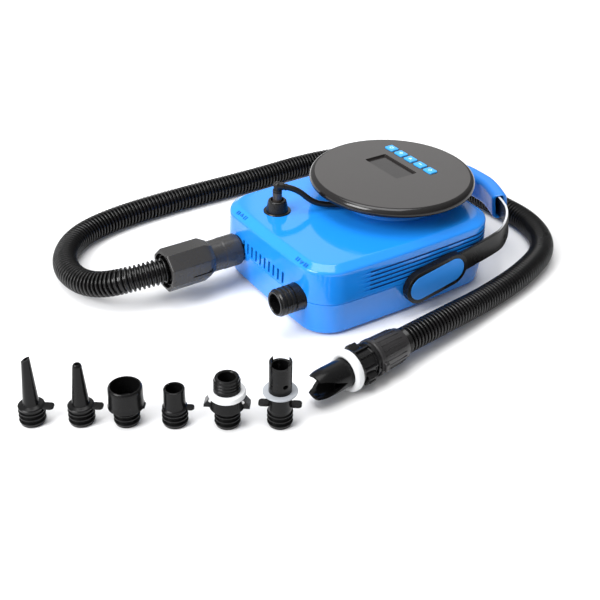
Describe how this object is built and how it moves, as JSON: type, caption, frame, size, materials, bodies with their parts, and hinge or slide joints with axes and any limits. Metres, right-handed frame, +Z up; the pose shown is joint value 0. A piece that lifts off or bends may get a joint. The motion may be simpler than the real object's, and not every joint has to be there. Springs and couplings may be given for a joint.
{
  "type": "electric inflator pump",
  "caption": "Boxy electric inflator with round tilted-edge control disc, swing handle, corrugated hose, bayonet valve fitting and loose valve adapters.",
  "frame": {"origin": "centre of the housing's footprint, on the surface that the feet stand on", "axes": "+X along the long side towards the handle's grip, -X the face with the two ports, +Z up"},
  "size_m": [0.6166, 0.4211, 0.1095],
  "materials": {
    "blue_shell": "gloss",
    "panel_black": "satin",
    "panel_grey": "satin",
    "display_glass": "gloss",
    "button_blue": "gloss",
    "port_black": "satin",
    "fitting_black": "satin",
    "hose_black": "satin",
    "gasket_white": "matte",
    "gasket_grey": "matte",
    "strap_black": "satin",
    "grip_blue": "gloss",
    "pill_blue": "satin",
    "foot_rubber": "matte",
    "screw_steel": "zinc",
    "pin_plastic": "matte",
    "motor_steel": "satin",
    "fan_plastic": "matte",
    "casing_plastic": "matte",
    "gear_plastic": "matte",
    "brass_gear": "bright",
    "cast_aluminium": "cast",
    "tube_clear": "matte",
    "board_green": "matte",
    "lead_black": "satin"
  },
  "bodies": {
    "pump": {"upper_housing": "blue_shell", "lower_housing": "blue_shell", "foot_pads": "foot_rubber", "housing_screws": "screw_steel", "inflate_port": "port_black", "deflate_port": "port_black", "turret_ring": "blue_shell", "lead_gland": "lead_black", "panel_base": "panel_black", "panel_screws": "screw_steel", "panel_cover": "panel_grey", "display_window": "display_glass", "display_module": "panel_black", "panel_board": "board_green", "tact_switches": "pin_plastic", "dc_socket": "port_black", "panel_plug": "lead_black", "panel_lead": "lead_black", "pivot_pin_right": "pin_plastic", "pivot_pin_left": "pin_plastic", "hose_cuff": "fitting_black", "air_hose": "hose_black", "fan_volute": "casing_plastic", "blower_motor": "motor_steel", "outlet_duct": "casing_plastic", "outlet_manifold": "casing_plastic", "gear_axle": "screw_steel", "compressor_motor": "motor_steel", "cylinder": "cast_aluminium", "compressor_frame": "cast_aluminium", "cylinder_head": "cast_aluminium", "pressure_tube": "tube_clear", "main_board": "board_green"},
    "fan": {"fan_impeller": "fan_plastic"},
    "gear": {"crank_gear": "gear_plastic"},
    "rod": {"piston_rod": "gear_plastic"},
    "pinion": {"drive_pinion": "brass_gear"},
    "handle": {"carry_strap": "strap_black", "pill_cap_right": "pill_blue", "pill_cap_left": "pill_blue", "grip_sleeve": "grip_blue"},
    "nut": {"coupling_nut": "fitting_black"},
    "collar": {"end_collar": "fitting_black"},
    "nozzle": {"bayonet_body": "fitting_black", "tip_gasket": "gasket_white", "valve_tip": "fitting_black"},
    "adapter_cone_long": {"cone_adapter_long": "fitting_black"},
    "adapter_cone_round": {"cone_adapter_round": "fitting_black"},
    "adapter_cup": {"cup_adapter": "fitting_black"},
    "adapter_tube": {"tube_adapter": "fitting_black"},
    "adapter_screw": {"screw_adapter": "fitting_black", "screw_adapter_gasket": "gasket_white"},
    "adapter_slot": {"slot_adapter": "fitting_black", "slot_adapter_ring": "gasket_grey"},
    "button_1": {"panel_button_1": "button_blue"},
    "button_2": {"panel_button_2": "button_blue"},
    "button_3": {"panel_button_3": "button_blue"},
    "button_4": {"panel_button_4": "button_blue"},
    "button_5": {"panel_button_5": "button_blue"}
  },
  "joints": [
    {"name": "handle_swing", "type": "hinge", "parent": "pump", "child": "handle", "pos_m": [0.0235, 0, 0.036], "axis": [0, -1, 0], "range_deg": [-9, 96]},
    {"name": "button_1_press", "type": "slide", "parent": "pump", "child": "button_1", "axis": [0, 0, -1], "range_m": [0, 0.0008], "stiffness_N_per_m": 1200, "springref_m": -0.0006},
    {"name": "button_2_press", "type": "slide", "parent": "pump", "child": "button_2", "axis": [0, 0, -1], "range_m": [0, 0.0008], "stiffness_N_per_m": 1200, "springref_m": -0.0006},
    {"name": "button_3_press", "type": "slide", "parent": "pump", "child": "button_3", "axis": [0, 0, -1], "range_m": [0, 0.0008], "stiffness_N_per_m": 1200, "springref_m": -0.0006},
    {"name": "button_4_press", "type": "slide", "parent": "pump", "child": "button_4", "axis": [0, 0, -1], "range_m": [0, 0.0008], "stiffness_N_per_m": 1200, "springref_m": -0.0006},
    {"name": "button_5_press", "type": "slide", "parent": "pump", "child": "button_5", "axis": [0, 0, -1], "range_m": [0, 0.0008], "stiffness_N_per_m": 1200, "springref_m": -0.0006},
    {"name": "fan_spin", "type": "hinge", "parent": "pump", "child": "fan", "pos_m": [-0.06, -0.058, 0.038], "axis": [1, 0, 0], "continuous": true},
    {"name": "gear_spin", "type": "hinge", "parent": "pump", "child": "gear", "pos_m": [0.036, 0.018, 0.034], "axis": [1, 0, 0], "continuous": true},
    {"name": "pinion_spin", "type": "hinge", "parent": "pump", "child": "pinion", "pos_m": [0.036, 0.048, 0.034], "axis": [1, 0, 0], "continuous": true},
    {"name": "rod_pivot", "type": "hinge", "parent": "gear", "child": "rod", "pos_m": [0.028, 0.015, 0.034], "axis": [1, 0, 0], "continuous": true},
    {"name": "nut_swivel", "type": "hinge", "parent": "pump", "child": "nut", "pos_m": [-0.16, 0.05, 0.038], "axis": [1, 0, 0], "continuous": true},
    {"name": "collar_swivel", "type": "hinge", "parent": "pump", "child": "collar", "pos_m": [-0.062, -0.152, 0.02], "axis": [-0.9928, -0.1198, 0], "continuous": true},
    {"name": "nozzle_pull", "type": "slide", "parent": "collar", "child": "nozzle", "axis": [-0.9928, -0.1198, 0], "range_m": [0, 0.02]},
    {"name": "lift_cone_long", "type": "slide", "parent": "pump", "child": "adapter_cone_long", "axis": [0, 0, 1], "range_m": [0, 0.03]},
    {"name": "lift_cone_round", "type": "slide", "parent": "pump", "child": "adapter_cone_round", "axis": [0, 0, 1], "range_m": [0, 0.03]},
    {"name": "lift_cup", "type": "slide", "parent": "pump", "child": "adapter_cup", "axis": [0, 0, 1], "range_m": [0, 0.03]},
    {"name": "lift_tube", "type": "slide", "parent": "pump", "child": "adapter_tube", "axis": [0, 0, 1], "range_m": [0, 0.03]},
    {"name": "lift_screw", "type": "slide", "parent": "pump", "child": "adapter_screw", "axis": [0, 0, 1], "range_m": [0, 0.03]},
    {"name": "lift_slot", "type": "slide", "parent": "pump", "child": "adapter_slot", "axis": [0, 0, 1], "range_m": [0, 0.03]}
  ],
  "couplings": [
    {"joint": "pinion_spin", "follows": "gear_spin", "ratio": -4},
    {"joint": "rod_pivot", "follows": "gear_spin", "ratio": -1}
  ]
}
